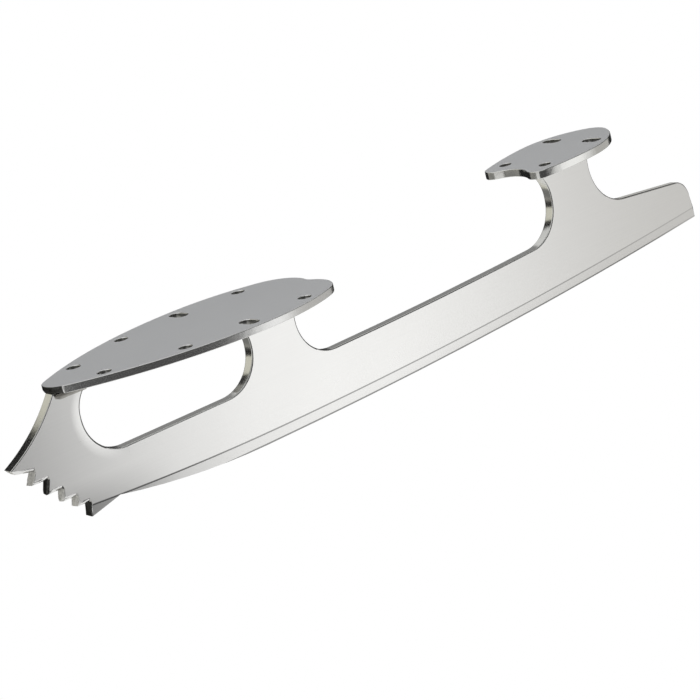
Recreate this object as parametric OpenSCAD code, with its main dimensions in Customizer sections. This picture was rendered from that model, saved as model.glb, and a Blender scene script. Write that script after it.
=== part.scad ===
// Figure skate blade: a steel runner with three stanchions, brazed under a sole plate and a heel plate.
// Sizes are in millimetres. Distances along the blade run back from the nose of the sole plate,
// and heights run up from the low point of the running edge, unless a comment says otherwise.
// The origin is the middle of the sole plate's screw pattern, on the mounting face,
// with +X towards the heel and +Z up towards the boot.

/* [Blade] */
// Length from the nose of the sole plate to the back of the heel plate
plate_span = 248.2; // [225:0.1:280]
// Height of the sole's mounting face above the low point of the running edge
sole_height = 44.6; // [41:0.1:52]
// Thickness of the sole plate
sole_t = 2.3; // [1.8:0.1:3]
// Thickness of the heel plate
heel_t = 2.8; // [2:0.1:3.4]
// Thickness of the runner
runner_t = 3.8; // [3.2:0.1:4.4]

/* [Running edge] */
// Radius of the main rocker
rocker_r = 2438; // [1800:1:3000]
// Low point of the rocker
rocker_x = 83; // [76:0.5:100]
// Radius of the spin rocker behind the toe picks
spin_r = 280; // [220:5:360]
// Where the spin rocker runs out into the main rocker
spin_x = 70; // [60:0.5:75]
// Radius of the hollow ground along the edge
hollow_r = 11.1; // [8:0.1:25]
// Height of the ground band beside the edge
band_h = 3.7; // [2:0.1:6]
// Depth of the ground band in each side
band_depth = 0.05; // [0.02:0.01:0.15]
// Radius of the top of the ground band ahead of the low point
band_front_r = 1000; // [700:10:2400]

/* [Toe picks] */
// How far the toe's point reaches ahead of the sole plate
toe_reach = 18.4; // [14:0.1:22]
// Height of the toe's point
toe_lift = 26.2; // [24:0.1:30]
// Radius of the toe's hollow front edge
toe_front_r = 53; // [35:1:120]
// Number of picks above the drag pick
pick_count = 5; // [3:1:6]
// How far the tip of the top pick lies ahead of the sole plate
pick_reach = 17; // [12:0.1:20]
// Height of the tip of the top pick
pick_lift = 24.6; // [22:0.1:25]
// Tip of the lowest pick behind the nose of the sole plate
last_pick_x = -0.4; // [-1.5:0.1:1]
// Height of the tip of the lowest pick
last_pick_lift = 8.1; // [7.5:0.1:9]
// Radius of the bowed line that the tips lie on
pick_bow_r = 85; // [60:1:300]
// How far the tips bunch together towards the lowest pick, from 0 for even spacing
pick_bunch = 0.15; // [0:0.05:0.3]
// Length of the lowest pick's underside, from its tip to its root
pick_len = 4.4; // [3.5:0.1:5.5]
// How much longer each pick's underside is than that of the pick below it
pick_growth = 0.45; // [0:0.05:0.6]
// Drop of a pick's underside from its tip to its root
pick_drop = 0.1; // [0:0.1:0.6]
// Drop of the top pick's underside, under the toe's point
top_drop = 1.4; // [0.2:0.1:1.8]
// Height of the bevel along both sides of a pick
pick_bevel = 1.2; // [0.5:0.1:2]
// Width of the flat left along the middle of a bevelled pick
pick_flat = 2.6; // [1:0.1:3]
// Tip of the drag pick behind the nose of the sole plate
drag_x = 3; // [1.5:0.1:4]
// Height of the tip of the drag pick
drag_lift = 3.5; // [2.5:0.1:4.5]
// Slope of the drag pick's back, in degrees
drag_slope = 13; // [8:0.5:18]

/* [Stanchions] */
// Front of the toe stanchion's foot
toe_foot = 0.6; // [0.4:0.1:3]
// Back of the toe stanchion at its waist
toe_back = 7.9; // [6:0.1:12]
// Front of the middle stanchion at its waist
mid_front = 71.9; // [60:0.1:76]
// Back of the middle stanchion at its waist
mid_back = 91.2; // [86:0.1:94]
// Front of the heel stanchion at its waist, ahead of the back of the heel plate
heel_front = 32.5; // [28:0.1:34]
// Back of the heel stanchion at its waist, ahead of the back of the heel plate
heel_back = 10.4; // [7:0.1:14]
// Height of the runner under the cutout between the toe and middle stanchions
cutout_floor = 19.2; // [14:0.1:22]
// Height of the runner between the middle and heel stanchions
bar_h = 20.3; // [15:0.1:22]
// Radius of the cutout's lower corners
cutout_r = 12.6; // [6:0.1:13]
// Radius at the foot of the middle stanchion's back
mid_fillet_r = 13.5; // [6:0.1:14]
// Radius at the foot of the heel stanchion's front
heel_fillet_r = 14; // [6:0.1:14]
// Radius at the foot of the heel stanchion's back
tail_fillet_r = 19; // [10:0.1:19.5]
// Radius of the flare under the sole plate on the toe stanchion
toe_flare_r = 10.5; // [5:0.1:10.5]
// Radius of the flare under the sole plate on the middle stanchion's front
mid_front_flare_r = 11; // [5:0.1:11]
// Radius of the flare under the sole plate on the middle stanchion's back
mid_back_flare_r = 8; // [4:0.1:9]
// Radius of the flare under the heel plate on the heel stanchion's front
heel_flare_r = 13.6; // [6:0.1:14]
// Radius of the flare under the heel plate on the heel stanchion's back
tail_flare_r = 6.5; // [3:0.1:7]
// Angle that the flares turn through, in degrees
flare_angle = 65; // [45:1:70]

/* [Tail] */
// How far the tail reaches behind the back of the heel plate
tail_reach = 45.3; // [35:0.1:55]
// Height of the tail's end above the running edge, before its corner is rounded
tail_h = 15; // [13:0.1:17]
// Fall of the tail's top edge towards its end, in degrees
tail_slope = 5.2; // [3:0.1:8]
// Lean of the tail's end, its foot further back than its top, in degrees
tail_lean = 10; // [0:0.5:14]
// Radius of the tail's top corner
tail_corner_r = 8; // [4:0.1:10]

/* [Sole plate] */
// Length of the sole plate
sole_len = 102; // [100:0.1:112]
// Width of the sole plate
sole_w = 49.7; // [46:0.1:60]
// Widest place of the sole plate
sole_widest = 65; // [58:0.5:70]
// Radius of the nose
sole_nose_r = 7; // [6:0.1:10]
// Radius of the sides behind the widest place
sole_flank_r = 68; // [66:1:200]
// Radius of the back corners
sole_corner_r = 13.6; // [12:0.1:13.8]
// Depth of the shallow scallop in the back edge
sole_scallop = 1; // [0.6:0.1:1.2]

/* [Heel plate] */
// Length of the heel plate
heel_len = 49.4; // [46:0.1:54]
// Width of the heel plate
heel_w = 35.4; // [32:0.1:42]
// Widest place of the heel plate, ahead of its back
heel_widest = 23.6; // [20:0.1:26]
// Radius of the back of the heel plate
heel_nose_r = 9.5; // [6:0.1:11]
// Radius of the sides ahead of the widest place
heel_flank_r = 80; // [60:1:160]
// Radius of the two front corners
heel_corner_r = 4.5; // [3:0.1:5]
// Depth of the scallop between the front corners
heel_scallop = 3.5; // [2.5:0.1:4.5]
// Height of the back of the heel plate above the sole's mounting face
heel_rise = 11.6; // [9:0.1:16]
// Tilt of the heel plate, its back higher, in degrees
heel_tilt = 4.2; // [2:0.1:6]

/* [Screw holes] */
// Diameter of the screw holes and width of the slots
hole_d = 4.1; // [3.6:0.1:5]
// Length of the slots across the plates
slot_len = 7.4; // [6:0.1:9]
// Mouth of the countersinks in the undersides
sink_d = 6.1; // [5.6:0.1:6.4]
// Middle of the sole's screw pattern behind the nose of the sole plate
pattern_x = 61.8; // [58:0.1:66]
// Spacing of the rows of holes along the sole
row_pitch = 23.3; // [20:0.1:24]
// Spacing across the pair of holes nearest the nose
nose_pair_w = 16.4; // [15:0.1:18]
// Spacing across the two pairs of round holes in the wide part of the sole
sole_pair_w = 33.5; // [30:0.1:35]
// Spacing across the pair of slots in the middle of the sole
slot_pair_w = 36; // [32:0.1:37]
// Row of round holes in the heel plate, ahead of its back
heel_hole_x = 41; // [38:0.1:42]
// Row of slots in the heel plate, ahead of its back
heel_slot_x = 15.1; // [14:0.1:18]
// Spacing across both pairs in the heel plate
heel_pair_w = 19; // [18:0.1:20]

/* [Brazing] */
// Leg of the braze fillets under the plates
braze_leg = 2.4; // [1:0.1:2.6]
// How far the braze stops short of each end of a stanchion's foot
braze_inset = 0.6; // [0.4:0.1:3]

/* [Hidden] */
$fn = 64;
// Steps that a full turn of a rocker's large ring and of the hollow's section are drawn in
ring_steps = 7200;
wheel_steps = 180;

// Steps that the long curves and the short curves of an outline are drawn in
long_steps = 48;
short_steps = 16;

// Metal left below the edge for the hollow grind to take away
grind = 0.1;
// How far a cutting shape runs past the face that it cuts
over = 1;
// How far the bevels' cutting shapes dip below a pick's underside
dip = 0.25;
// How far the bevels stop short of a pick's root
bevel_stop = 0.4;
// Turn between the end of a fillet and the first point of the bar's top, in degrees
bar_gap = 0.1;
// Straight stretch kept between a stanchion's fillet and its flare
waist = 0.2;

ice = -sole_height;
tail_end = plate_span + tail_reach;
edge_t = runner_t - 2 * band_depth;
sole_under = -sole_t;
toe_tip = [-toe_reach, ice + toe_lift];
drag_tip = [drag_x, ice + drag_lift];

// Centres of the main rocker and of the spin rocker that runs into it
rocker_c = [rocker_x, ice + rocker_r];
spin_run = low_point(rocker_c, rocker_r, spin_x);
spin_c = rocker_c + (spin_run - rocker_c) * (1 - spin_r / rocker_r);

// Where the drag pick's back runs into the spin rocker's stock
drag_dir = [cos(drag_slope), sin(drag_slope)];
drag_b = drag_dir * (drag_tip - spin_c);
drag_q = (drag_tip - spin_c) * (drag_tip - spin_c) - pow(spin_r + grind, 2);
spin_start = drag_tip + drag_dir * (-drag_b - sqrt(drag_b * drag_b - drag_q));

// Point of a circle's lower half at a given x
function low_point(c, r, x) = [x, c.y - sqrt(r * r - pow(x - c.x, 2))];

// Points along a circle's lower half between two values of x
function low_arc(c, r, x1, x2, steps = long_steps) =
    [for (i = [0:steps]) low_point(c, r, x1 + (x2 - x1) * i / steps)];

// Points along a circle between two angles
function arc(c, r, from, to, steps = short_steps) =
    [for (i = [0:steps]) c + r * [cos(from + (to - from) * i / steps), sin(from + (to - from) * i / steps)]];

// Points along an arc from p to q whose centre lies on the right of the way from p to q
function right_arc(p, q, r, steps = short_steps) =
    let (c = right_centre(p, q, r))
    arc(c, r, angle_to(c, p), angle_to(c, q), steps);

function right_centre(p, q, r) =
    let (
        chord = q - p,
        away = [chord.y, -chord.x] / norm(chord)
    )
    (p + q) / 2 + away * sqrt(r * r - pow(norm(chord) / 2, 2));

function reversed(points) = [for (i = [len(points) - 1:-1:0]) points[i]];
function angle_to(c, p) = 360 + atan2(p.y - c.y, p.x - c.x);

// Underside of the heel plate
function heel_under(x) = heel_rise - heel_t / cos(heel_tilt) + (x - plate_span) * tan(heel_tilt);

// Foot of a stanchion's side, where its flare meets the plate: dir is the side that the open gap lies on
function foot_x(side, dir, flare_r) = side + dir * flare_r * (1 - cos(flare_angle));
function flare_z(foot_z, flare_r) = foot_z - flare_r * sin(flare_angle);
function limited(r, floor_z, foot_z, flare_r) = min(r, flare_z(foot_z, flare_r) - floor_z - waist);

// Side of a stanchion from the floor of the gap up to the plate: a fillet, a straight waist and a flare
function side_up(side, dir, fillet_z, fillet_r, floor_angle, foot_z, flare_r) =
    let (upright = dir > 0 ? 180 : 360)
    concat(
        arc([side + dir * fillet_r, fillet_z], fillet_r, floor_angle, upright),
        arc([side + dir * flare_r, flare_z(foot_z, flare_r)], flare_r, upright, upright - dir * flare_angle)
    );

// Centre height of a fillet that runs into the top of the bar, which is concentric with the rocker
function on_bar(x, r) = low_point(rocker_c, rocker_r - bar_h - r, x).y;

// Feet of the stanchions
toe_foot_back = foot_x(toe_back, 1, toe_flare_r);
mid_foot_front = foot_x(mid_front, -1, mid_front_flare_r);
mid_foot_back = foot_x(mid_back, 1, mid_back_flare_r);
heel_front_x = plate_span - heel_front;
heel_back_x = plate_span - heel_back;
heel_foot_front = foot_x(heel_front_x, -1, heel_flare_r);
heel_foot_back = foot_x(heel_back_x, 1, tail_flare_r);

// Cutout between the toe and middle stanchions
cutout_z = ice + cutout_floor;
toe_r = limited(cutout_r, cutout_z, sole_under, toe_flare_r);
mid_front_r = limited(cutout_r, cutout_z, sole_under, mid_front_flare_r);

// Gap between the middle and heel stanchions
mid_r = limited(mid_fillet_r, low_point(rocker_c, rocker_r - bar_h, mid_back).y, sole_under,
                mid_back_flare_r);
mid_fillet_c = [mid_back + mid_r, on_bar(mid_back + mid_r, mid_r)];
heel_r = limited(heel_fillet_r, low_point(rocker_c, rocker_r - bar_h, heel_front_x).y,
                 heel_under(heel_foot_front), heel_flare_r);
heel_fillet_c = [heel_front_x - heel_r, on_bar(heel_front_x - heel_r, heel_r)];
mid_bar_angle = angle_to(rocker_c, mid_fillet_c);
heel_bar_angle = angle_to(rocker_c, heel_fillet_c);

// Top edge of the tail
tail_low = low_point(rocker_c, rocker_r, tail_end);
function tail_top(x) = tail_low.y + tail_h + (tail_end - x) * tan(tail_slope);
tail_r = limited(tail_fillet_r, tail_top(heel_back_x), heel_under(heel_foot_back), tail_flare_r);
tail_fillet_z = tail_top(heel_back_x + tail_r) + tail_r / cos(tail_slope);

// Centre of the tail's top corner, which touches the leaning end and the top edge
end_out = [cos(tail_lean), sin(tail_lean)];
top_out = [sin(tail_slope), cos(tail_slope)];
end_d = tail_low * end_out - tail_corner_r;
top_d = [tail_end, tail_top(tail_end)] * top_out - tail_corner_r;
tail_corner_c = [end_d * top_out.y - top_d * end_out.y, top_d * end_out.x - end_d * top_out.x]
                / cos(tail_lean + tail_slope);

// Tips of the picks along their bowed line, from the lowest to the top, and the root behind each
low_pick = [last_pick_x, ice + last_pick_lift];
top_pick = [-pick_reach, ice + pick_lift];
pick_c = right_centre(low_pick, top_pick, pick_bow_r);
pick_from = angle_to(pick_c, low_pick);
pick_turn = angle_to(pick_c, top_pick) - pick_from;
function pick_angle(u) = pick_from + pick_turn * (u - pick_bunch * u * (1 - u));
pick_tips = [for (i = [0:pick_count - 1])
                 let (turn = pick_angle(i / (pick_count - 1)))
                 pick_c + pick_bow_r * [cos(turn), sin(turn)]];
pick_roots = [for (i = [0:pick_count - 1])
                  pick_tips[i] + [pick_len + i * pick_growth, i < pick_count - 1 ? -pick_drop : -top_drop]];
pick_row = [for (i = [pick_count - 1:-1:0]) each [pick_tips[i], pick_roots[i]]];

runner_outline = concat(
    right_arc([toe_foot, sole_under], toe_tip, toe_front_r),
    pick_row,
    [drag_tip],
    low_arc(spin_c, spin_r + grind, spin_start.x, spin_run.x),
    low_arc(rocker_c, rocker_r + grind, spin_run.x + over, tail_end),
    arc(tail_corner_c, tail_corner_r, tail_lean, 90 - tail_slope),
    side_up(heel_back_x, 1, tail_fillet_z, tail_r, 270 - tail_slope,
            heel_under(heel_foot_back), tail_flare_r),
    reversed(side_up(heel_front_x, -1, heel_fillet_c.y, heel_r, heel_bar_angle,
                     heel_under(heel_foot_front), heel_flare_r)),
    arc(rocker_c, rocker_r - bar_h, heel_bar_angle - bar_gap, mid_bar_angle + bar_gap, long_steps),
    side_up(mid_back, 1, mid_fillet_c.y, mid_r, mid_bar_angle, sole_under, mid_back_flare_r),
    reversed(side_up(mid_front, -1, cutout_z + mid_front_r, mid_front_r, 270, sole_under,
                     mid_front_flare_r)),
    side_up(toe_back, 1, cutout_z + toe_r, toe_r, 270, sole_under, toe_flare_r)
);

// Side view of the band that is ground beside the running edge
band_outline = concat(
    low_arc([rocker_x, ice + band_h + band_front_r], band_front_r, toe_tip.x, rocker_x),
    low_arc(rocker_c, rocker_r - band_h, rocker_x + over, tail_end + over),
    [[tail_end + over, ice - over], [toe_tip.x, ice - over]]
);

// Half of a plate's outline from its nose at x = 0 to the middle of the scallop at its blunt end:
// nose, side up to the widest place, side behind it, corner and scallop, each running into the next
function plate_half(length, width, widest, nose_r, flank_r, corner_r, scallop) =
    let (
        half = width / 2,
        run = widest - nose_r,
        bow_r = (run * run + half * half - nose_r * nose_r) / (2 * (half - nose_r)),
        bow_c = [widest, half - bow_r],
        nose_angle = atan2(-bow_c.y, -run),
        flank_c = [widest, half - flank_r],
        corner_x = length - corner_r,
        corner_c = [corner_x, flank_c.y + sqrt(pow(flank_r - corner_r, 2) - pow(corner_x - widest, 2))],
        corner_angle = atan2(corner_c.y - flank_c.y, corner_x - widest),
        inner = corner_r - scallop,
        scallop_r = (inner * inner + corner_c.y * corner_c.y - corner_r * corner_r) / (2 * scallop),
        scallop_c = [length - scallop + scallop_r, 0],
        turn = atan2(-corner_c.y, scallop_c.x - corner_x)
    )
    concat(
        arc([nose_r, 0], nose_r, 180, nose_angle),
        arc(bow_c, bow_r, nose_angle, 90, long_steps),
        arc(flank_c, flank_r, 90, corner_angle),
        arc(corner_c, corner_r, corner_angle, turn),
        arc(scallop_c, scallop_r, 180 + turn, 180)
    );

module plate_blank(half, t) {
    mirrored = [for (i = [len(half) - 2:-1:1]) [half[i].x, -half[i].y]];
    translate([0, 0, -t])
        linear_extrude(t)
            polygon(concat(half, mirrored));
}

// Hole through a plate of thickness t from its top face at z = 0, countersunk from below
module screw_hole(t) {
    sink_h = (sink_d - hole_d) / 2;
    translate([0, 0, -t - over])
        cylinder(h = t + 2 * over, d = hole_d);
    translate([0, 0, -t])
        cylinder(h = sink_h, d1 = sink_d, d2 = hole_d);
}

// The same hole drawn out to a slot across the plate
module screw_slot(t) {
    travel = slot_len - hole_d;
    sink_h = (sink_d - hole_d) / 2;
    for (side = [-1, 1])
        translate([0, side * travel / 2, 0])
            screw_hole(t);
    translate([-hole_d / 2, -travel / 2, -t - over])
        cube([hole_d, travel, t + 2 * over]);
    translate([0, travel / 2, -t])
        rotate([90, 0, 0])
            linear_extrude(travel)
                polygon([[-sink_d / 2, 0], [sink_d / 2, 0], [hole_d / 2, sink_h], [-hole_d / 2, sink_h]]);
}

module pair_at(x, spacing) {
    for (side = [-1, 1])
        translate([x, side * spacing / 2, 0])
            children();
}

// Moves a shape from the nose of the sole plate to the origin in the middle of the screw pattern
module from_nose() {
    translate([-pattern_x, 0, 0])
        children();
}

// Seats a shape on the heel plate: z = 0 is its top face and x = 0 its back
module on_heel() {
    translate([plate_span, 0, heel_rise])
        rotate([0, -heel_tilt, 0])
            children();
}

// Stands a side view up, with its thickness centred on the middle plane
module side_view(thickness) {
    rotate([90, 0, 0])
        linear_extrude(thickness, center = true)
            children();
}

// Ring of the grinding wheel's path along one rocker, between two places on the edge
module hollow_path(c, r, x1, x2) {
    from = angle_to(c, low_point(c, r, x1));
    to = angle_to(c, low_point(c, r, x2));
    wheel_x = r + sqrt(hollow_r * hollow_r - edge_t * edge_t / 4);
    translate([c.x, 0, c.y])
        rotate([90, 0, 0])
            rotate([0, 0, from])
                rotate_extrude(angle = to - from, $fn = ring_steps)
                    translate([wheel_x, 0])
                        circle(r = hollow_r, $fn = wheel_steps);
}

// Bevels on both sides of one pick, from its tip to just short of its root
module pick_bevels(tip, root) {
    reach = runner_t / 2 + over;
    rise = pick_bevel * (reach - pick_flat / 2) / (runner_t / 2 - pick_flat / 2);
    translate([tip.x, 0, tip.y])
        rotate([0, -atan2(root.y - tip.y, root.x - tip.x), 0])
            translate([-2 * over, 0, 0])
                rotate([90, 0, 90])
                    linear_extrude(norm(root - tip) + 2 * over - bevel_stop)
                        for (side = [-1, 1])
                            polygon([[side * pick_flat / 2, 0], [side * reach, -dip], [side * reach, rise]]);
}

// Braze fillets on one side of a foot: x = 0 is its front, z = 0 the plate's underside
module braze_bead(length, side) {
    rotate([90, 0, 90])
        linear_extrude(length - 2 * braze_inset)
            mirror([side > 0 ? 0 : 1, 0])
                translate([runner_t / 2, -braze_leg])
                    difference() {
                        square(braze_leg);
                        translate([braze_leg, 0])
                            circle(r = braze_leg);
                    }
}

module sole_braze(front, back, side) {
    translate([front + braze_inset, 0, sole_under])
        braze_bead(back - front, side);
}

module heel_braze(side) {
    on_heel()
        translate([(heel_foot_front - plate_span) / cos(heel_tilt) + braze_inset, 0, -heel_t])
            braze_bead((heel_foot_back - heel_foot_front) / cos(heel_tilt), side);
}

module runner() {
    color("Gainsboro")
        from_nose()
            difference() {
                side_view(runner_t)
                    polygon(runner_outline);
                for (side = [-1, 1])
                    translate([0, side * (runner_t / 2 + over / 2 - band_depth), 0])
                        side_view(over)
                            polygon(band_outline);
                for (i = [0:pick_count - 1])
                    pick_bevels(pick_tips[i], pick_roots[i]);
                hollow_path(spin_c, spin_r, spin_start.x, spin_run.x);
                hollow_path(rocker_c, rocker_r, spin_run.x, tail_end + over);
            }
}

module sole_plate() {
    color("Silver")
        from_nose()
            difference() {
                plate_blank(plate_half(sole_len, sole_w, sole_widest, sole_nose_r, sole_flank_r,
                                       sole_corner_r, sole_scallop), sole_t);
                pair_at(pattern_x - 2 * row_pitch, nose_pair_w)
                    screw_hole(sole_t);
                for (row = [-1, 1])
                    pair_at(pattern_x + row * row_pitch, sole_pair_w)
                        screw_hole(sole_t);
                pair_at(pattern_x, slot_pair_w)
                    screw_slot(sole_t);
            }
}

module heel_plate() {
    color("Silver")
        from_nose()
            on_heel()
                difference() {
                    mirror([1, 0, 0])
                        plate_blank(plate_half(heel_len, heel_w, heel_widest, heel_nose_r, heel_flank_r,
                                               heel_corner_r, heel_scallop), heel_t);
                    pair_at(-heel_hole_x, heel_pair_w)
                        screw_hole(heel_t);
                    pair_at(-heel_slot_x, heel_pair_w)
                        screw_slot(heel_t);
                }
}

module toe_braze_left() {
    color("DarkKhaki") from_nose() sole_braze(toe_foot, toe_foot_back, -1);
}

module toe_braze_right() {
    color("DarkKhaki") from_nose() sole_braze(toe_foot, toe_foot_back, 1);
}

module mid_braze_left() {
    color("DarkKhaki") from_nose() sole_braze(mid_foot_front, mid_foot_back, -1);
}

module mid_braze_right() {
    color("DarkKhaki") from_nose() sole_braze(mid_foot_front, mid_foot_back, 1);
}

module heel_braze_left() {
    color("DarkKhaki") from_nose() heel_braze(-1);
}

module heel_braze_right() {
    color("DarkKhaki") from_nose() heel_braze(1);
}

runner();
sole_plate();
heel_plate();
toe_braze_left();
toe_braze_right();
mid_braze_left();
mid_braze_right();
heel_braze_left();
heel_braze_right();
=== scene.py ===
# %% [markdown]
# # Dressing a figure skate blade
# The blade is three pieces of plated steel, brazed together: a flat runner, a sole plate and a heel plate.
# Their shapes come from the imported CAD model. What is added here is what the grinder, the polisher and the
# photographer add: broken edges, satin and polished finishes, braze fillets, light and a camera.

# %% Load the CAD frame
import math

import bmesh
import bpy
from mathutils import Matrix, Vector


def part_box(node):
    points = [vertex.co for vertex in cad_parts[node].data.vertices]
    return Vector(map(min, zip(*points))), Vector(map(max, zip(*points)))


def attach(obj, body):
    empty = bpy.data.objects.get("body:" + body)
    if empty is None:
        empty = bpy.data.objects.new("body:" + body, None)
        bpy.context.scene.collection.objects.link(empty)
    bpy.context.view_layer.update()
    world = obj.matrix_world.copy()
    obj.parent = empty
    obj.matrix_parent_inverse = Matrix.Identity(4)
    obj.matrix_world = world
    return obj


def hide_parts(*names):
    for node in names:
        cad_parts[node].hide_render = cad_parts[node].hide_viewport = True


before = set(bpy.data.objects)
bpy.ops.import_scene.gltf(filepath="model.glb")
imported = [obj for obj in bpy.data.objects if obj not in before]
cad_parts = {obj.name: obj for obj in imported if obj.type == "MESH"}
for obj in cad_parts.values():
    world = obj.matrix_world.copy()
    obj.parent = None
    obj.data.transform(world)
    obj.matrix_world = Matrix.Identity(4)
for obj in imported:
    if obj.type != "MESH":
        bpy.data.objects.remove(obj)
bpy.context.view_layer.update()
MM = 0.001

# %% [markdown]
# ## The camera
# The photograph was taken from in front of the toe, a little above the plates, with a long lens. Its place
# and turn were solved from the screw holes, so they are given here as the camera's three axes and a point.
# The picture was cropped off centre, which is what a camera's shift is for.

# %% Place the camera
VIEW_RIGHT = Vector((0.734708, -0.645653, -0.208173))
VIEW_UP = Vector((0.335595, 0.079236, 0.938668))
VIEW_BACK = Vector((-0.589559, -0.759509, 0.274894))
VIEW_FROM = Vector((-0.29006, -0.42056, 0.12221))
PICTURE_PIXELS = 700
FOCAL_PIXELS = 1717.1
OFF_CENTRE_PIXELS = (29.0, 20.5)
SENSOR_WIDTH = 36
NEAREST_SEEN = 0.01


def put_in_scene(name, data):
    """A new object of this data, linked to the scene."""
    made = bpy.data.objects.new(name, data)
    bpy.context.scene.collection.objects.link(made)
    return made


lens = bpy.data.cameras.new("camera")
lens.sensor_width = SENSOR_WIDTH
lens.lens = FOCAL_PIXELS / PICTURE_PIXELS * SENSOR_WIDTH
lens.shift_x = OFF_CENTRE_PIXELS[0] / PICTURE_PIXELS
lens.shift_y = OFF_CENTRE_PIXELS[1] / PICTURE_PIXELS
lens.clip_start = NEAREST_SEEN
camera = put_in_scene("camera", lens)
turn = Matrix((VIEW_RIGHT, VIEW_UP, VIEW_BACK)).transposed().to_4x4()
camera.matrix_world = Matrix.Translation(VIEW_FROM) @ turn
bpy.context.scene.camera = camera
print("lens in mm:", round(lens.lens, 1))

# %% [markdown]
# ## Building node trees in code
# Finishes, light and the braze fillets are all node trees. One helper makes a node, sets its options and
# fills its inputs: a plain value is set, and another node's output is linked.

# %% Helpers for nodes
def bare_tree(owner):
    """The node tree of a material or a world, emptied."""
    owner.use_nodes = True
    owner.node_tree.nodes.clear()
    return owner.node_tree


def add(tree, kind, settings=None, inputs=None):
    """A new node with its settings made and its inputs set or linked."""
    made = tree.nodes.new(kind)
    for name, value in (settings or {}).items():
        setattr(made, name, value)
    for key, value in (inputs or {}).items():
        if isinstance(value, bpy.types.NodeSocket):
            tree.links.new(value, made.inputs[key])
        else:
            made.inputs[key].default_value = value
    return made


def calc(tree, operation, *values):
    """The output of a Math node."""
    return add(tree, "ShaderNodeMath", {"operation": operation}, dict(enumerate(values))).outputs[0]


# %% [markdown]
# ## Light
# Polished steel has hardly any colour of its own: what shows is the room. The world is plain white all
# round, so any colour renders about as it is written, and the steel mirrors the same white that lies behind
# the blade. A photographer then sets up cards that the lens doesn't see: black ones to draw dark edges, grey
# ones to calm the flat tops, warm ones for a little beige. They stand about a metre off, so the toe and the
# heel see each card at a slightly different angle, and the steel's shine changes along the blade. No card is
# brighter than white. A direction is two angles in degrees: turned from the way to the heel, then up.

# %% Choose the cards
CARD_DISTANCE = 1.1
BLACK, CHARCOAL = (0.02, 0.02, 0.02), (0.09, 0.09, 0.09)
DUSK, GREY = (0.27, 0.27, 0.26), (0.34, 0.34, 0.34)
DIM, PALE = (0.42, 0.41, 0.38), (0.63, 0.62, 0.60)
WARM = (0.95, 0.93, 0.82)
# For each card its colour, the two turns and then the two heights that it reaches between
CARDS = {
    "card_by_the_camera": (CHARCOAL, (-140, -65.2), (-45, 50)),
    "screen_near_heel": (PALE, (-38.3, 4), (-40, 4)),
    "card_behind_heel": (BLACK, (4, 28), (-35, 35)),
    "hood_near_side": (GREY, (-65.2, 4), (4, 26)),
    "brow_near_side": (BLACK, (-65.2, 4), (26, 60)),
    "strip_behind_tail": (BLACK, (28, 40), (-26, -2)),
    "gleam_behind_tail": (PALE, (28, 40), (-2, 7)),
    "hood_behind_tail": (GREY, (28, 40), (7, 30)),
    "strip_far_side": (BLACK, (40, 71), (-26, 3.5)),
    "hood_far_side": (GREY, (40, 71), (3.5, 30)),
    "card_far_side": (BLACK, (71, 108), (-38, 33)),
    "brow_far_side": (DIM, (71, 92), (33, 42)),
    "brow_ahead": (BLACK, (92, 150), (33, 42)),
    "wall_ahead": (WARM, (108, 170), (0, 29)),
    "hem_ahead": (BLACK, (116, 170), (-12, 0)),
    "lintel_ahead": (BLACK, (108, 150), (29, 33)),
    "hem_far_side": (BLACK, (108, 116), (-18, 0)),
    "sill_ahead": (DIM, (116, 212), (-18, -12)),
    "skirt_ahead": (DUSK, (108, 188), (-38, -18)),
    "floor_ahead": (WARM, (60, 188), (-80, -38)),
}
print(len(CARDS), "cards,", CARD_DISTANCE, "m off")

# %% Set up the white room and its cards
CARD_TILES = 12


def way(turned, up):
    """The unit vector of a direction in degrees."""
    turned, up = math.radians(turned), math.radians(up)
    return Vector((math.cos(turned) * math.cos(up), math.sin(turned) * math.cos(up), math.sin(up)))


def spaced(first, last):
    """Evenly spaced angles from the first to the last, with CARD_TILES steps between them."""
    return [first + (last - first) * i / CARD_TILES for i in range(CARD_TILES + 1)]


def set_card(name, colour, turns, ups):
    """A plain card bent round the blade, between two turns and two heights, hidden from the lens."""
    corners = [CARD_DISTANCE * way(turned, up) for up in spaced(*ups) for turned in spaced(*turns)]
    row = CARD_TILES + 1
    firsts = [i * row + j for i in range(CARD_TILES) for j in range(CARD_TILES)]
    mesh = bpy.data.meshes.new(name)
    mesh.from_pydata(corners, [], [(n, n + 1, n + row + 1, n + row) for n in firsts])
    colouring = bpy.data.materials.new(name)
    tree = bare_tree(colouring)
    face = add(tree, "ShaderNodeEmission", None, {"Color": (*colour, 1), "Strength": 1})
    add(tree, "ShaderNodeOutputMaterial", None, {"Surface": face.outputs[0]})
    mesh.materials.append(colouring)
    card = put_in_scene(name, mesh)
    card.visible_camera = False


world = bpy.data.worlds.new("white_room")
bpy.context.scene.world = world
room = bare_tree(world)
white = add(room, "ShaderNodeBackground", None, {"Color": (1, 1, 1, 1), "Strength": 1})
add(room, "ShaderNodeOutputWorld", None, {"Surface": white.outputs[0]})
bpy.context.scene.view_settings.view_transform = "Standard"
for name, (colour, turns, ups) in CARDS.items():
    set_card(name, colour, turns, ups)
print("white room with", len(CARDS), "cards")

# %% [markdown]
# One weak, soft lamp stands just inside the cards, where the middle of the runner mirrors it. It gives the
# satin a broad sheen that is strongest there and fades towards the toe and the tail.

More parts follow.
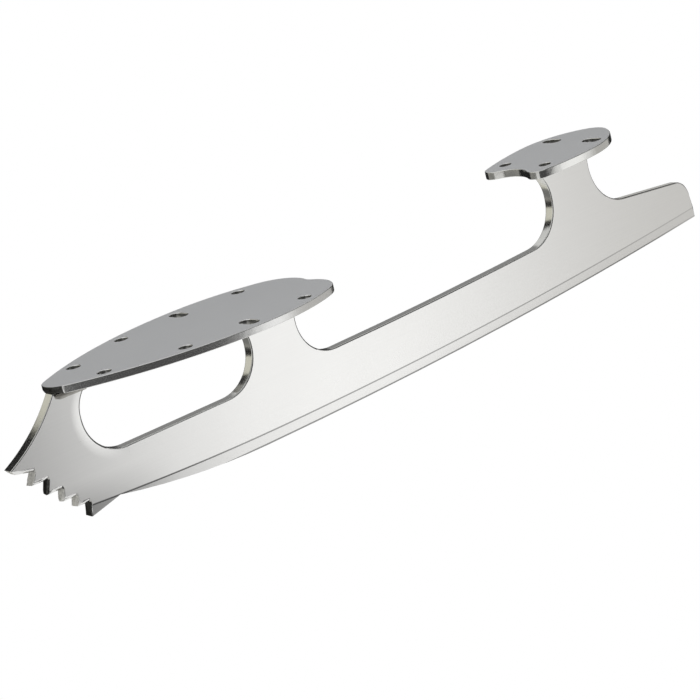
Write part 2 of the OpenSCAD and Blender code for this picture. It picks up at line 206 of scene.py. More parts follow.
# %% Hang the lamp
LAMP_WAY = (-51.5, -14)
LAMP_DISTANCE = 0.95 * CARD_DISTANCE
LAMP_SIZE = (0.28, 0.55)
LAMP_GLOW = 0.35
glow = bpy.data.lights.new("soft_lamp", "AREA")
glow.shape = "RECTANGLE"
glow.size, glow.size_y = LAMP_SIZE
glow.energy = LAMP_GLOW * math.pi * LAMP_SIZE[0] * LAMP_SIZE[1]
lamp = put_in_scene("soft_lamp", glow)
lamp.location = LAMP_DISTANCE * way(*LAMP_WAY)
lamp.rotation_euler = way(*LAMP_WAY).to_track_quat("Z", "Y").to_euler()
lamp.visible_camera = False
print("soft lamp of", round(glow.energy, 2), "W")

# %% [markdown]
# ## The floor
# In the photograph the blade hangs in the air over plain white. The floor is a pale disc well below it, so
# that it takes a soft shadow without showing in the picture's frame. What the lens or the steel sees of it
# is lifted towards white, and the light that it throws back is left as it is.

# %% Lay the floor
FLOOR_LEVEL = -0.4
FLOOR_RADIUS = 0.4
FLOOR_SIDES = 96
FLOOR_PAINT = (0.9, 0.9, 0.9, 1)
FLOOR_LIFT = 0.55
disc = bmesh.new()
bmesh.ops.create_circle(disc, cap_ends=True, segments=FLOOR_SIDES, radius=FLOOR_RADIUS)
floor_mesh = bpy.data.meshes.new("floor")
disc.to_mesh(floor_mesh)
disc.free()
floor = put_in_scene("floor", floor_mesh)
floor.location.z = FLOOR_LEVEL
pale_floor = bpy.data.materials.new("pale_floor")
paint = bare_tree(pale_floor)
matt = add(paint, "ShaderNodeBsdfDiffuse", None, {"Color": FLOOR_PAINT})
rays = add(paint, "ShaderNodeLightPath").outputs
mirrored = calc(paint, "MAXIMUM", rays["Is Glossy Ray"], rays["Is Transmission Ray"])
seen = calc(paint, "MAXIMUM", rays["Is Camera Ray"], mirrored)
lift = calc(paint, "MULTIPLY", seen, FLOOR_LIFT)
lifted = add(paint, "ShaderNodeEmission", None, {"Color": (1, 1, 1, 1), "Strength": lift})
both = add(paint, "ShaderNodeAddShader", None, {0: matt.outputs[0], 1: lifted.outputs[0]})
add(paint, "ShaderNodeOutputMaterial", None, {"Surface": both.outputs[0]})
floor_mesh.materials.append(pale_floor)
print("floor", -FLOOR_LEVEL, "m below the mounting face")

# %% [markdown]
# ## Steel finishes
# The steel is plated, so most finishes are the same pale grey and differ in their grain. Flat faces are
# rubbed to a satin along their length. Cut walls and rims are buffed, which leaves them nearly mirrors, but
# a little wavy, because a soft wheel follows every hand movement. A satin is drawn as noise that is
# stretched along the rubbing: it moves the roughness, the tint and, by a hair, the height of the surface.
# The waves are a broader noise that moves only the height.

# %% One function for every finish
CLOUDS, CLOUD_SPREAD = 35, 0.03
SWELLS = 420
GRAIN_DARK, GRAIN_LIGHT = 0.3, 0.7
MICRON = 0.001 * MM


def noise(tree, place, scale, detail):
    """The output of a Noise Texture node."""
    inputs = {"Vector": place, "Scale": scale, "Detail": detail}
    return add(tree, "ShaderNodeTexNoise", None, inputs).outputs["Fac"]


def ramp(tree, factor, stops):
    """The colour output of a ramp with a (place, grey or colour) pair for each stop."""
    made = add(tree, "ShaderNodeValToRGB", None, {"Fac": factor})
    band = made.color_ramp.elements
    while len(band) < len(stops):
        band.new(0.5)
    for element, (place, colour) in zip(band, stops):
        element.position = place
        rgb = (colour,) * 3 if isinstance(colour, (int, float)) else colour
        element.color = (*rgb, 1)
    return made.outputs["Color"]


def steel(name, tint, roughness, spread, grain, bite=0.2, wave=0.0, metal=1.0, mottle=0.98):
    """A metal whose grain is a noise stretched by the three scales in grain, in lines a metre.

    spread is how far the roughness varies, bite how deep the grain is and wave how high the buffing waves
    are, both in thousandths of a millimetre. metal is less than 1 where a coarse stone has left the steel
    nearly matt, and mottle is how dark the grain's dark lines are.
    """
    made = bpy.data.materials.new(name)
    tree = bare_tree(made)
    place = add(tree, "ShaderNodeTexCoord").outputs["Object"]
    stretched = add(tree, "ShaderNodeMapping", None, {"Vector": place, "Scale": grain}).outputs[0]
    lines = noise(tree, stretched, scale=1, detail=3)
    cloud = noise(tree, place, CLOUDS, detail=4)
    swell = noise(tree, place, SWELLS, detail=2)
    rough = calc(tree, "ADD", calc(tree, "MULTIPLY_ADD", lines, spread, roughness - spread / 2),
                 calc(tree, "MULTIPLY_ADD", cloud, CLOUD_SPREAD, -CLOUD_SPREAD / 2))
    colour = ramp(tree, lines, [(GRAIN_DARK, tuple(mottle * c for c in tint)), (GRAIN_LIGHT, tint)])
    height = calc(tree, "ADD", calc(tree, "MULTIPLY", lines, bite), calc(tree, "MULTIPLY", swell, wave))
    bump = add(tree, "ShaderNodeBump", None, {"Height": height, "Strength": 1, "Distance": MICRON})
    shine = add(tree, "ShaderNodeBsdfPrincipled", None,
                {"Base Color": colour, "Roughness": rough, "Normal": bump.outputs[0], "Metallic": metal})
    add(tree, "ShaderNodeOutputMaterial", None, {"Surface": shine.outputs[0]})
    print("finish", name, "with roughness", roughness)
    return made


# %% [markdown]
# The two plates' rims were buffed differently, the heel's to a smoother shine. A coarse stone has left the
# fronts of three picks nearly matt, and they are painted near white as a painted highlight. The inside of
# the holes is painted dark as painted shade, and the other picks' fronts near black as a painted dark
# reflection.
# The broken edges that face the tail look dark in the photograph, so that dark is painted into a colour of
# their own: a painted dark reflection.

# %% Make the finishes
ALONG, ACROSS = (40, 3000, 3000), (2500, 50, 2500)
RUBBED, DRILLED = (60, 2600, 2600), (2000, 2000, 4000)
STONED, GROUND = (1600, 1600, 1600), (15, 5000, 5000)
satin_plate = steel("satin_plate", (0.74, 0.75, 0.76), 0.36, 0.06, RUBBED)
buffed_rim = steel("buffed_rim", (0.68, 0.68, 0.67), 0.26, 0.06, ACROSS, bite=0.1, wave=25)
bright_rim = steel("bright_rim", (0.62, 0.62, 0.60), 0.16, 0.06, ACROSS, bite=0.1, wave=25)
buffed_wall = steel("buffed_wall", (0.56, 0.56, 0.54), 0.17, 0.06, ACROSS, bite=0.1, wave=25)
# Painted shade: the holes' walls are coloured dark for the shade inside them
shaded_hole_wall = steel("shaded_hole_wall", (0.24, 0.24, 0.23), 0.30, 0.15, DRILLED)
# Painted highlight: the near-white fronts of three picks
pale_painted_pick = steel("pale_painted_pick", (0.97, 0.96, 0.92), 0.45, 0.20, STONED, bite=3.0, metal=0.2,
                     mottle=0.66)
# Painted dark: the nose's painted shade and two picks' fronts' painted dark reflection
painted_dark_steel = steel("painted_dark_steel", (0.07, 0.07, 0.066), 0.35, 0.10, STONED, bite=0.5, mottle=0.4)
# Painted dark reflection on the broken edges that face the tail
painted_dark_edge = steel("painted_dark_edge", (0.10, 0.10, 0.096), 0.35, 0.10, ACROSS)
ground_edge = steel("ground_edge", (0.72, 0.72, 0.71), 0.24, 0.14, GROUND, bite=0.4)
satin_runner = steel("satin_runner", (0.80, 0.797, 0.783), 0.28, 0.01, ALONG, bite=0.03)

# %% [markdown]
# ## The ground band
# A strip along the running edge is ground bare, so that the edge can be sharpened. Its upper border is a
# dark line that follows the rocker, and a shader can follow it too: how far a point lies inside a circle is
# the radius less its distance from the centre. There is one circle ahead of the low point and one behind it.

# %% Measure on the runner's side
ROCKER_X, EDGE_Z = 21.2 * MM, -44.6 * MM
ROCKER_RADIUS = 2.438
TOE_END, TAIL_END = -60 * MM, 230 * MM

satin = satin_runner.node_tree
spot = add(satin, "ShaderNodeSeparateXYZ", None,
           {0: add(satin, "ShaderNodeTexCoord").outputs["Object"]}).outputs


def remap(tree, value, start, end, low=0.0, kind="LINEAR"):
    """The output of a Map Range node that goes from low at the start to 1 at the end."""
    inputs = {"Value": value, "From Min": start, "From Max": end, "To Min": low, "To Max": 1.0}
    return add(tree, "ShaderNodeMapRange", {"interpolation_type": kind}, inputs).outputs[0]


def from_centre(x, z):
    """How far a point on the runner's side lies from a centre."""
    legs = (calc(satin, "SUBTRACT", spot["X"], x), calc(satin, "SUBTRACT", spot["Z"], z))
    return calc(satin, "SQRT", calc(satin, "ADD", *(calc(satin, "MULTIPLY", leg, leg) for leg in legs)))


def inside_rocker(radius, lowest):
    """How far a point lies inside the circle of this radius whose lowest point is at this height."""
    return calc(satin, "SUBTRACT", radius, from_centre(ROCKER_X, lowest + radius))


along = remap(satin, spot["X"], TOE_END, TAIL_END)
print("measured from a rocker of", ROCKER_RADIUS, "m")

# %% [markdown]
# The wheel bit deepest behind the drag pick, so the line and the band fade from there towards the tail. A
# second dark line runs along the edge itself, and painted shade darkens the satin towards the bottom over
# the drag pick and just behind it. Each of these darkens the satin by a grey that changes along the blade.

# %% Find, mix and shade colours in a finish
def node_of(tree, kind):
    """The tree's one node of this kind."""
    return next(n for n in tree.nodes if n.type == kind)


def feeding(socket):
    """The output that is linked to this input."""
    return socket.links[0].from_socket


def mix_number(tree, factor, first, second):
    """The output of a Mix node for numbers."""
    return add(tree, "ShaderNodeMix", {"data_type": "FLOAT"}, {0: factor, 2: first, 3: second}).outputs[0]


def mix_colour(tree, factor, first, second, blend="MIX"):
    """The output of a Mix node for colours, whose sockets are numbered after those for numbers."""
    return add(tree, "ShaderNodeMix", {"data_type": "RGBA", "blend_type": blend},
               {0: factor, 6: first, 7: second}).outputs[2]


def shaded(colour, where, greys):
    """The colour times a grey that changes along the blade, in one part of the runner."""
    darker = mix_colour(satin, 1.0, colour, ramp(satin, along, greys), "MULTIPLY")
    return mix_colour(satin, where, colour, darker)


# %% Draw the band in the satin
BAND_HEIGHT = 3.7 * MM
FRONT_RADIUS = 1.0
LINE_WIDTH, EDGE_LINE_WIDTH = 0.5 * MM, 0.55 * MM
DRAG_SHADE_HEIGHT = 8 * MM
# Each grey has its place along the blade, from 0 at the toe's end to 1 at the tail's
DRAG_SHADE_GREYS = [(0.0, 0.70), (0.05, 0.80), (0.12, 1.0)]
BAND_GREYS = [(0.0, 0.62), (0.07, 0.70), (0.12, 0.84), (0.2, 0.93), (0.4, 0.97)]
LINE_GREYS = [(0.0, 0.26), (0.12, 0.22), (0.2, 0.40), (0.5, 0.48), (0.75, 0.54), (1.0, 0.80)]
EDGE_LINE_GREYS = [(0.0, 0.36), (0.9, 0.36), (1.0, 0.8)]

ahead_of_low_point = inside_rocker(FRONT_RADIUS, EDGE_Z + BAND_HEIGHT)
behind_low_point = inside_rocker(ROCKER_RADIUS - BAND_HEIGHT, EDGE_Z + BAND_HEIGHT)
behind = calc(satin, "GREATER_THAN", spot["X"], ROCKER_X)
above = mix_number(satin, behind, ahead_of_low_point, behind_low_point)
# Painted shade: the satin darkens towards the bottom over the drag pick and just behind it
drag_shade = remap(satin, above, DRAG_SHADE_HEIGHT, 0.0)
in_band = calc(satin, "LESS_THAN", above, 0.0)
line = calc(satin, "LESS_THAN", calc(satin, "ABSOLUTE", above), LINE_WIDTH / 2)
# A dark line along the running edge itself
edge_line = calc(satin, "LESS_THAN", inside_rocker(ROCKER_RADIUS, EDGE_Z), EDGE_LINE_WIDTH)
satin_colour = node_of(satin, "BSDF_PRINCIPLED").inputs["Base Color"]
colour = feeding(satin_colour)
for where, greys in ((drag_shade, DRAG_SHADE_GREYS), (in_band, BAND_GREYS), (line, LINE_GREYS), (edge_line, EDGE_LINE_GREYS)):
    colour = shaded(colour, where, greys)
satin.links.new(colour, satin_colour)
print("band border drawn", LINE_WIDTH / MM, "mm wide")

# %% [markdown]
# ## Beside the window
# The buffing wheel was pushed into the window's front corner, so the face rolls off towards the cut there. A
# fine dark line along the cut is a painted dark reflection, for the dark that the broken edge mirrors there.
# The cut is two circles, one for the window's corner and one for the flare above it, and the shader measures
# how far a point lies outside of them. The roll is little more than a tenth of a millimetre deep, so it is
# drawn as a height for the Bump node.

# %% Roll the face off towards the window's front corner
WINDOW_X, WINDOW_Z, WINDOW_RADIUS = -41.3 * MM, -12.8 * MM, 12.6 * MM
FLARE_RADIUS, FLARE_TOP = 10.5 * MM, -2.3 * MM
ROLL_WIDTH = 3.6 * MM
ROLL_MICRONS = 140
EDGE_SHADE_IN, EDGE_SHADE_WIDTH, EDGE_SHADE_GREY = 0.35 * MM, 0.4 * MM, 0.5


def outside_circle(x, z, radius):
    """How far a point lies outside a circle on the runner's side."""
    return calc(satin, "SUBTRACT", from_centre(x, z), radius)


cut_x = WINDOW_X - WINDOW_RADIUS
corner = outside_circle(WINDOW_X, WINDOW_Z, WINDOW_RADIUS)
flare = outside_circle(cut_x + FLARE_RADIUS, FLARE_TOP - FLARE_RADIUS, FLARE_RADIUS)
from_cut = mix_number(satin, calc(satin, "GREATER_THAN", spot["Z"], WINDOW_Z), corner, flare)
ahead = calc(satin, "LESS_THAN", spot["X"], WINDOW_X)
# Painted dark reflection: a fine dark line along the window's cut
edge_shade = calc(satin, "MULTIPLY", ahead, calc(satin, "COMPARE", from_cut, EDGE_SHADE_IN, EDGE_SHADE_WIDTH / 2))
satin.links.new(shaded(colour, edge_shade, [(0.0, EDGE_SHADE_GREY), (1.0, EDGE_SHADE_GREY)]), satin_colour)
near = calc(satin, "DIVIDE", calc(satin, "SUBTRACT", ROLL_WIDTH, from_cut), ROLL_WIDTH)
roll = calc(satin, "MULTIPLY", ahead, calc(satin, "POWER", calc(satin, "MAXIMUM", near, 0.0), 2.0))
satin_height = node_of(satin, "BUMP").inputs["Height"]
satin.links.new(calc(satin, "MULTIPLY_ADD", roll, -ROLL_MICRONS, feeding(satin_height)), satin_height)
print("face rolled off over", ROLL_WIDTH / MM, "mm beside the window")

# %% [markdown]
# ## Copies with broken edges
# A CAD edge is infinitely sharp, and such an edge never catches the light. On the real blade cut edges are
# rounded over by a few tenths of a millimetre. The CAD meshes stay as they are: each steel piece is a copy,
# joined from loose triangles into whole faces, whose outer edges are then bevelled.

# %% Copy a node, break its edges and hand it over
WELD = 2e-6
FLAT = math.radians(0.4)
SHARP = math.radians(32)


def steel_copy(node):
    """A CAD node's mesh as whole flat faces, in an editable form."""
    shape = bmesh.new()
    shape.from_mesh(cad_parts[node].data)
    bmesh.ops.remove_doubles(shape, verts=shape.verts, dist=WELD)
    bmesh.ops.dissolve_limit(shape, angle_limit=FLAT, verts=shape.verts, edges=shape.edges)
    shape.normal_update()
    return shape


def break_edges(shape, edges, width, segments=3):
    """Rounds these edges by width."""
    bmesh.ops.bevel(shape, geom=edges, offset=width, segments=segments, profile=0.5, affect="EDGES",
                    clamp_overlap=False, loop_slide=True)
    shape.normal_update()


def hand_over(piece, node):
    """Lets a piece stand for its CAD node, riding on the blade's one body."""
    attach(piece, "root")
    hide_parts(node)
    print(piece.name, len(piece.data.polygons), "faces")


def finish_piece(shape, name, node, finishes, choose):
    """Makes the object, gives each face the finish that choose returns, and lets it stand for its node."""
    for face in shape.faces:
        face.material_index = choose(face)
        face.smooth = True
    mesh = bpy.data.meshes.new(name)
    shape.to_mesh(mesh)
    shape.free()
    mesh.set_sharp_from_angle(angle=SHARP)
    for finish in finishes:
        mesh.materials.append(finish)
    piece = put_in_scene(name, mesh)
    even = piece.modifiers.new("even shading", "WEIGHTED_NORMAL")
    even.keep_sharp = True
    hand_over(piece, node)


# %% [markdown]
# ## The plates
# Both plates are blanked from sheet: flat satin faces, buffed rims, and holes with a slightly broken mouth.
# An edge is a rim or a hole's mouth where a flat face meets a wall. A plate's own border and its holes are
# all walls between the two flat faces, so they are told apart by their length: walls that touch are put in
# one group, and the group that reaches furthest along the blade is the border.

# %% Find a plate's rim
CORNER = math.radians(40)
LEVEL = 0.99


def flat_faces(shape, up):
    """The faces that look straight up or down from the plate."""
    return {f for f in shape.faces if abs(f.normal.dot(up)) > LEVEL}


def rim_edges(shape, up):
    """The sharp edges between a flat face and a wall."""
    flat = flat_faces(shape, up)
    return [e for e in shape.edges if len(e.link_faces) == 2 and sum(f in flat for f in e.link_faces) == 1
            and e.calc_face_angle() > CORNER]


def reach_along(group):
    """How far a group of faces reaches along the blade."""
    places = [f.calc_center_median().x for f in group]
    return max(places) - min(places)


def outer_wall(shape, flat):
    """The faces of the plate's own border: of all the walls between the flat faces, the longest."""
    left = set(shape.faces) - flat
    groups = []
    while left:
        group, to_visit = set(), [left.pop()]
        while to_visit:
            face = to_visit.pop()
            group.add(face)
            touching = {f for e in face.edges for f in e.link_faces} & left
            left -= touching
            to_visit.extend(touching)
        groups.append(group)
    return max(groups, key=reach_along)


# %% [markdown]
# The buffing wheel reaches the rims and the mouths of the holes. The holes' walls are painted dark, as
# painted shade inside the holes. The nose of the sole plate, over the toe's front, is filed round underneath
# and painted near black, as painted shade.

# %% Make the plates
PLATE_TILT = {"sole_plate": 0.0, "heel_plate": math.radians(4.2)}
PLATE_RIM = {"sole_plate": buffed_rim, "heel_plate": bright_rim}
RIM_BREAK = 0.22 * MM
NOSE_BREAK, NOSE_STEPS = 1.1 * MM, 5
NOSE_FACING, NOSE_UPRIGHT = -0.66, 0.2
MOUTH_UP = 0.2
FACE, RIM, HOLE, NOSE = range(4)


def faces_ahead(face):
    """True for a wall that looks ahead, seen from above."""
    level_part = face.normal.xy.length
    return face.normal.x < NOSE_FACING * level_part and level_part > NOSE_UPRIGHT


def make_plate(node):
    """Rounds a plate's edges, picks each face's finish and hands the plate over."""
    up = Vector((-math.sin(PLATE_TILT[node]), 0, math.cos(PLATE_TILT[node])))
    shape = steel_copy(node)
    if node == "sole_plate":
        border = outer_wall(shape, flat_faces(shape, up))
        nose = {f for f in border if faces_ahead(f)}
        under_nose = [e for e in rim_edges(shape, up) if any(f in nose for f in e.link_faces)
                      and any(f.normal.z < -LEVEL for f in e.link_faces)]
        break_edges(shape, under_nose, NOSE_BREAK, NOSE_STEPS)
    break_edges(shape, rim_edges(shape, up), RIM_BREAK)
    flat = flat_faces(shape, up)
    border = outer_wall(shape, flat)

    def plate_finish(face):
        """Flat faces, the nose, the rim with the holes' mouths, and the walls of the holes."""
        if face in flat:
            return FACE
        # The nose is painted near black as painted shade
        if node == "sole_plate" and face in border and faces_ahead(face):
            return NOSE
        return RIM if face in border or face.normal.dot(up) > MOUTH_UP else HOLE

    finishes = [satin_plate, PLATE_RIM[node], shaded_hole_wall, painted_dark_steel]
    finish_piece(shape, node + "_steel", node, finishes, plate_finish)


for plate in PLATE_RIM:
    make_plate(plate)

# %% [markdown]
# ## The runner
# The runner is one flat blade. Its two sides are satin, and its outline is buffed all round. The hollow
# under it and the bevels on the picks come straight from a grinding wheel. The picks' front faces were
# ground by hand from both sides, so all but the lowest have a low ridge, not always in the middle: the face
# is cut in two there, and the ridge is pulled forward.

# %% Ridge the picks' fronts
TOE_BEHIND, TOE_UNDER = -57.0 * MM, -19.0 * MM
FRONT_FACING = -0.6
WHOLE_FACE = 3.0 * MM
RIDGE = 0.5 * MM
RIDGES_AT = (1.0 * MM, -1.0 * MM, 0.0, 1.3 * MM)


def thickness(face):
    """How far a face reaches across the blade."""
    across = [v.co.y for v in face.verts]
    return max(across) - min(across)


def is_pick_front(face):
    """True for a face that looks ahead, under the toe."""
    middle = face.calc_center_median()
    return face.normal.x < FRONT_FACING and middle.x < TOE_BEHIND and middle.z < TOE_UNDER


def ridge_picks(shape):
    """Splits the picks' front faces, from the top pick down, and pulls each ridge forward."""
    fronts = [f for f in shape.faces if is_pick_front(f) and thickness(f) > WHOLE_FACE]
    fronts.sort(key=lambda f: -f.calc_center_median().z)
    for front, ridge_y in zip(fronts, RIDGES_AT):
        around = [*front.verts, *front.edges, front]
        halved = bmesh.ops.bisect_plane(shape, geom=around, plane_co=(0, ridge_y, 0), plane_no=(0, 1, 0))
        for point in [v for v in halved["geom_cut"] if isinstance(v, bmesh.types.BMVert)]:
            point.co.x -= RIDGE
    shape.normal_update()
    print("picks with a ridge:", len(RIDGES_AT), "of", len(fronts))


blade = steel_copy("runner")
ridge_picks(blade)

# %% [markdown]
# The edges between the sides and the outline are then broken, less at the toe, where the picks lie so close
# together that a wide round would run into the next one. The bevels and the underside keep their grinding.

# %% Break the runner's edges
EDGE_BREAK, TOE_BREAK = 0.5 * MM, 0.3 * MM
TRUE_SIDE, SQUARE_WALL, UNDERNEATH = 0.99, 0.3, -0.85
STEP = 0.2 * MM


def outline_edges(shape, at_toe):
    """The edges between a side and a wall, either at the toe or all round the rest."""
    sides = {f for f in shape.faces if abs(f.normal.y) > TRUE_SIDE}
    found = []
    for edge in shape.edges:
        walls = [f for f in edge.link_faces if f not in sides]
        if len(edge.link_faces) != 2 or len(walls) != 1:
            continue
        turned = walls[0].normal
        buffed = abs(turned.y) < SQUARE_WALL and turned.z > UNDERNEATH and thickness(walls[0]) > STEP
        middle = (edge.verts[0].co + edge.verts[1].co) / 2
        if buffed and (middle.x < TOE_BEHIND) == at_toe:
            found.append(edge)
    return found


for at_toe, width in ((True, TOE_BREAK), (False, EDGE_BREAK)):
    outline = outline_edges(blade, at_toe)
    break_edges(blade, outline, width)
    print(len(outline), "edges broken by", width / MM, "mm")

# %% [markdown]
# Each face's finish follows from where it lies and which way it looks. The fronts of the second and the
# last pick are painted near black, a painted dark reflection, and the others, dressed with a stone, are
# painted near white, a painted highlight.

# %% Finish the runner
PICKS_AT = (-23.4 * MM, -27.5 * MM, -31.5 * MM, -35.0 * MM, -38.5 * MM)
DARK_PAINTED_PICKS = (1, 4)
SIDE_LIKE, BEVELLED, LOOKING_UP = 0.97, 0.35, 0.3
BACKWARD, SIDEWAYS = 0.15, 0.6
SIDE, WALL, GROUND_FACE, LIT_PICK_FRONT, SHADED_PICK_FRONT, TAILWARD_EDGE = range(6)


def runner_finish(face):
    """The satin sides, the picks' fronts, the edges that face the tail, the ground faces, or the outline."""
    turned, across = face.normal, abs(face.normal.y)
    middle = face.calc_center_median()
    if across > SIDE_LIKE:
        return SIDE
    if is_pick_front(face):
        nearest = min(range(len(PICKS_AT)), key=lambda i: abs(PICKS_AT[i] - middle.z))
        # Each pick's front gets the pale painted-highlight copy or the near-black painted-reflection copy
        return SHADED_PICK_FRONT if nearest in DARK_PAINTED_PICKS else LIT_PICK_FRONT
    if turned.x > BACKWARD and across > SIDEWAYS and middle.x > TOE_BEHIND:
        return TAILWARD_EDGE
    bevelled = across > BEVELLED and turned.z < LOOKING_UP and middle.z < TOE_UNDER
    return GROUND_FACE if bevelled or turned.z < UNDERNEATH else WALL


runner_finishes = [satin_runner, buffed_wall, ground_edge, pale_painted_pick, painted_dark_steel, painted_dark_edge]
finish_piece(blade, "runner_steel", "runner", runner_finishes, runner_finish)

# %% [markdown]
# ## The braze fillets
# Where a stanchion meets its plate, molten braze was drawn into the corner on both sides, and its face sank
# into a hollow curve. The bead's colour is partly the braze's own and partly painted shade: it is dark deep
# in the corner under the plate and gets brighter towards its lower edge, and the toe's beads are painted
# darker than the others. The finish reads how deep a point lies from an attribute of the mesh.

# %% The braze finish
BRAZE_GRAIN = (300, 300, 300)
SHALLOW_END, DEEP_END = 0.05, 0.5
CORNER_SHADE_SHARE = 0.9


def braze_finish(name, deep, shallow):
    """Braze with painted shade: the colour deep in the corner under a plate, and shallow at the bead's lower
    edge.
    """
    made = steel(name, shallow, 0.30, 0.10, BRAZE_GRAIN, wave=60)
    tree = made.node_tree
    colour = node_of(tree, "BSDF_PRINCIPLED").inputs["Base Color"]
    depth = add(tree, "ShaderNodeAttribute", {"attribute_name": "depth"}).outputs["Fac"]
    corner_shade = ramp(tree, depth, [(SHALLOW_END, shallow), (DEEP_END, deep)])
    tree.links.new(mix_colour(tree, CORNER_SHADE_SHARE, feeding(colour), corner_shade), colour)
    return made


# Painted shade: the beads darken towards the corner under the plate, and the toe's most
toe_shaded_braze = braze_finish("toe_shaded_braze", (0.07, 0.064, 0.055), (0.45, 0.44, 0.41))
lightly_shaded_braze = braze_finish("lightly_shaded_braze", (0.40, 0.385, 0.36), (0.70, 0.69, 0.67))

# %% [markdown]
# A bead follows a line, so it is made with Geometry Nodes: a straight line along the corner, a profile with
# one corner and a hollow side that is swept along it, and a scale that swells and shrinks a little along the
# bead and tapers at its ends.

# %% The bead's profile and its size along the line
RING = 12
RIPPLES = 350
TIP_SIZE = 0.75


def hollow_profile(tree, leg):
    """A ring with one corner and a hollow side: X is out from the runner, Y down from the plate."""
    order = add(tree, "GeometryNodeInputIndex").outputs[0]
    step = math.pi / 2 / (RING - 2)
    angle = calc(tree, "MULTIPLY_ADD", order, -step, math.pi + step)
    # Point 0 stays in the corner, and all the others lie on the hollow
    hollow = calc(tree, "GREATER_THAN", order, 0.5)
    out = calc(tree, "MULTIPLY", hollow, calc(tree, "ADD", calc(tree, "COSINE", angle), 1.0))
    down = calc(tree, "MULTIPLY", hollow, calc(tree, "SUBTRACT", 1.0, calc(tree, "SINE", angle)))
    place = add(tree, "ShaderNodeCombineXYZ", None,
                {"X": calc(tree, "MULTIPLY", out, leg), "Y": calc(tree, "MULTIPLY", down, leg)})
    ring = add(tree, "GeometryNodeCurvePrimitiveCircle", None, {"Resolution": RING, "Radius": leg})
    bent = add(tree, "GeometryNodeSetPosition", None,
               {"Geometry": ring.outputs[0], "Position": place.outputs[0]})
    depth = {"Geometry": bent.outputs[0], "Name": "depth", "Value": calc(tree, "SUBTRACT", 1.0, down)}
    kept = add(tree, "GeometryNodeStoreNamedAttribute", {"data_type": "FLOAT", "domain": "POINT"}, depth)
    return kept.outputs[0]


def bead_size(tree, swell, taper):
    """The bead's scale along its line: it ripples by swell, and tapers over this share of each half."""
    run = add(tree, "GeometryNodeSplineParameter").outputs
    ripple = add(tree, "ShaderNodeTexNoise", {"noise_dimensions": "1D"},
                 {"W": run["Length"], "Scale": RIPPLES, "Detail": 2}).outputs["Fac"]
    to_end = calc(tree, "MINIMUM", run["Factor"], calc(tree, "SUBTRACT", 1.0, run["Factor"]))
    tip = remap(tree, calc(tree, "MULTIPLY", to_end, 2.0), 0.0, taper, TIP_SIZE, "SMOOTHSTEP")
    return calc(tree, "MULTIPLY", tip, calc(tree, "SUBTRACT", 1.0, calc(tree, "MULTIPLY", ripple, swell)))


print("bead profile of", RING, "points")

# %% A node tree that sweeps one bead
BEAD_STEPS = 61
BEAD_INPUTS = {"Start": "Vector", "End": "Vector", "Leg": "Float", "Swell": "Float", "Taper": "Float",
               "Finish": "Material"}


def bead_tree():
    """Sweeps a hollow fillet along a line from Start to End."""
    tree = bpy.data.node_groups.new("braze_bead", "GeometryNodeTree")
    for name, kind in BEAD_INPUTS.items():
        tree.interface.new_socket(name, in_out="INPUT", socket_type="NodeSocket" + kind)
    tree.interface.new_socket("Bead", in_out="OUTPUT", socket_type="NodeSocketGeometry")
    given = tree.nodes.new("NodeGroupInput").outputs
    line = add(tree, "GeometryNodeCurvePrimitiveLine", None, {"Start": given["Start"], "End": given["End"]})
    fine = add(tree, "GeometryNodeResampleCurve", None, {"Curve": line.outputs[0], "Count": BEAD_STEPS})
    level = add(tree, "GeometryNodeSetCurveNormal", {"mode": "Z_UP"}, {"Curve": fine.outputs[0]})
    swept = add(tree, "GeometryNodeCurveToMesh", None,
                {"Curve": level.outputs[0], "Profile Curve": hollow_profile(tree, given["Leg"]),
                 "Scale": bead_size(tree, given["Swell"], given["Taper"]), "Fill Caps": True})
    outward = add(tree, "GeometryNodeFlipFaces", None, {0: swept.outputs[0]})
    real = add(tree, "GeometryNodeRealizeInstances", None, {0: outward.outputs[0]})
    coated = add(tree, "GeometryNodeSetMaterial", None,
                 {"Geometry": real.outputs[0], "Material": given["Finish"]})
    add(tree, "NodeGroupOutput", None, {"Bead": coated.outputs[0]})
    return tree


bead_maker = bead_tree()
print("bead inputs:", list(BEAD_INPUTS))

# %% [markdown]
# The beads' places come from the CAD beads: the corner that a CAD bead fills is the line of its points that
# lie closest to the runner, at the top. The line's direction decides which way the profile is turned, so it
# runs to the tail on one side of the runner and to the toe on the other.

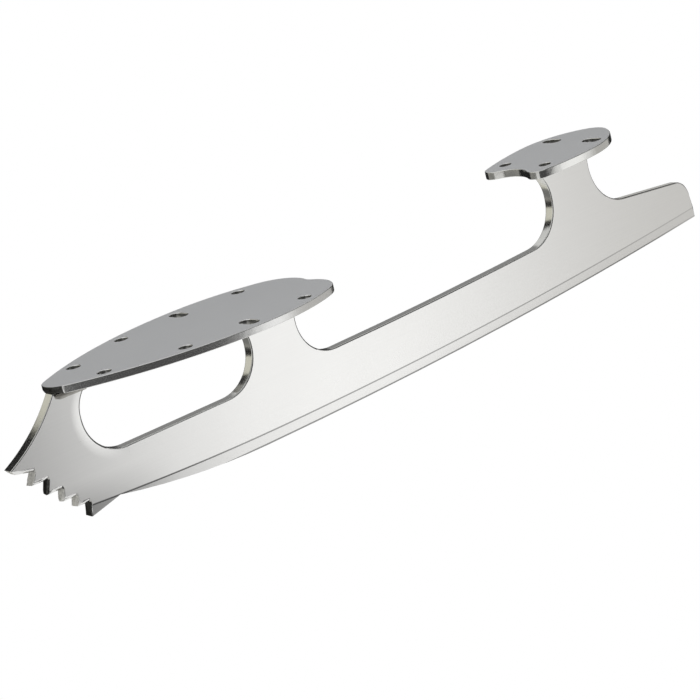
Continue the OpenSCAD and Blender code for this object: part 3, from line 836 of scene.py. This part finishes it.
# %% Sweep a bead along a CAD bead's corner
BRAZE_LEG = 2.4 * MM
SWELL = 0.12
TAPER = 0.3
TOUCHING = 0.01 * MM
AT_END = 0.5 * MM


def corner_line(node):
    """The start and the end of the corner that a CAD bead fills."""
    points = [v.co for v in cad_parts[node].data.vertices]
    inner = min(abs(p.y) for p in points)
    corner = [p for p in points if abs(p.y) < inner + TOUCHING]
    ends = min(p.x for p in corner), max(p.x for p in corner)
    front, back = [max((p for p in corner if abs(p.x - end) < AT_END), key=lambda p: p.z) for end in ends]
    return (front, back) if front.y < 0 else (back, front)


def swept_mesh(node, finish):
    """A plain mesh of the bead for this node."""
    maker = put_in_scene(node + "_maker", bpy.data.meshes.new(node + "_maker"))
    modifier = maker.modifiers.new("bead", "NODES")
    modifier.node_group = bead_maker
    start, end = corner_line(node)
    values = {"Start": start, "End": end, "Leg": BRAZE_LEG, "Swell": SWELL, "Taper": TAPER, "Finish": finish}
    for socket in bead_maker.interface.items_tree:
        if socket.in_out == "INPUT":
            modifier[socket.identifier] = values[socket.name]
    graph = bpy.context.evaluated_depsgraph_get()
    mesh = bpy.data.meshes.new_from_object(maker.evaluated_get(graph), depsgraph=graph)
    bpy.data.objects.remove(maker)
    return mesh


# %% Make the six beads
BEAD_SHARP = math.radians(40)


def make_bead(node, finish):
    """Runs a bead along the corner that the CAD bead fills, and lets it stand for that bead."""
    mesh = swept_mesh(node, finish)
    mesh.name = node + "_bead"
    mesh.shade_smooth()
    mesh.set_sharp_from_angle(angle=BEAD_SHARP)
    hand_over(put_in_scene(node + "_bead", mesh), node)
    low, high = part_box(node)
    least, most = [[pick(v.co[i] for v in mesh.vertices) for i in range(3)] for pick in (min, max)]
    print("  over the CAD bead, mm:", [round((c - b) / MM, 2) for c, b in zip(low, least)],
          [round((b - c) / MM, 2) for c, b in zip(high, most)])


for side in ("left", "right"):
    make_bead("toe_braze_" + side, toe_shaded_braze)
    make_bead("mid_braze_" + side, lightly_shaded_braze)
    make_bead("heel_braze_" + side, lightly_shaded_braze)
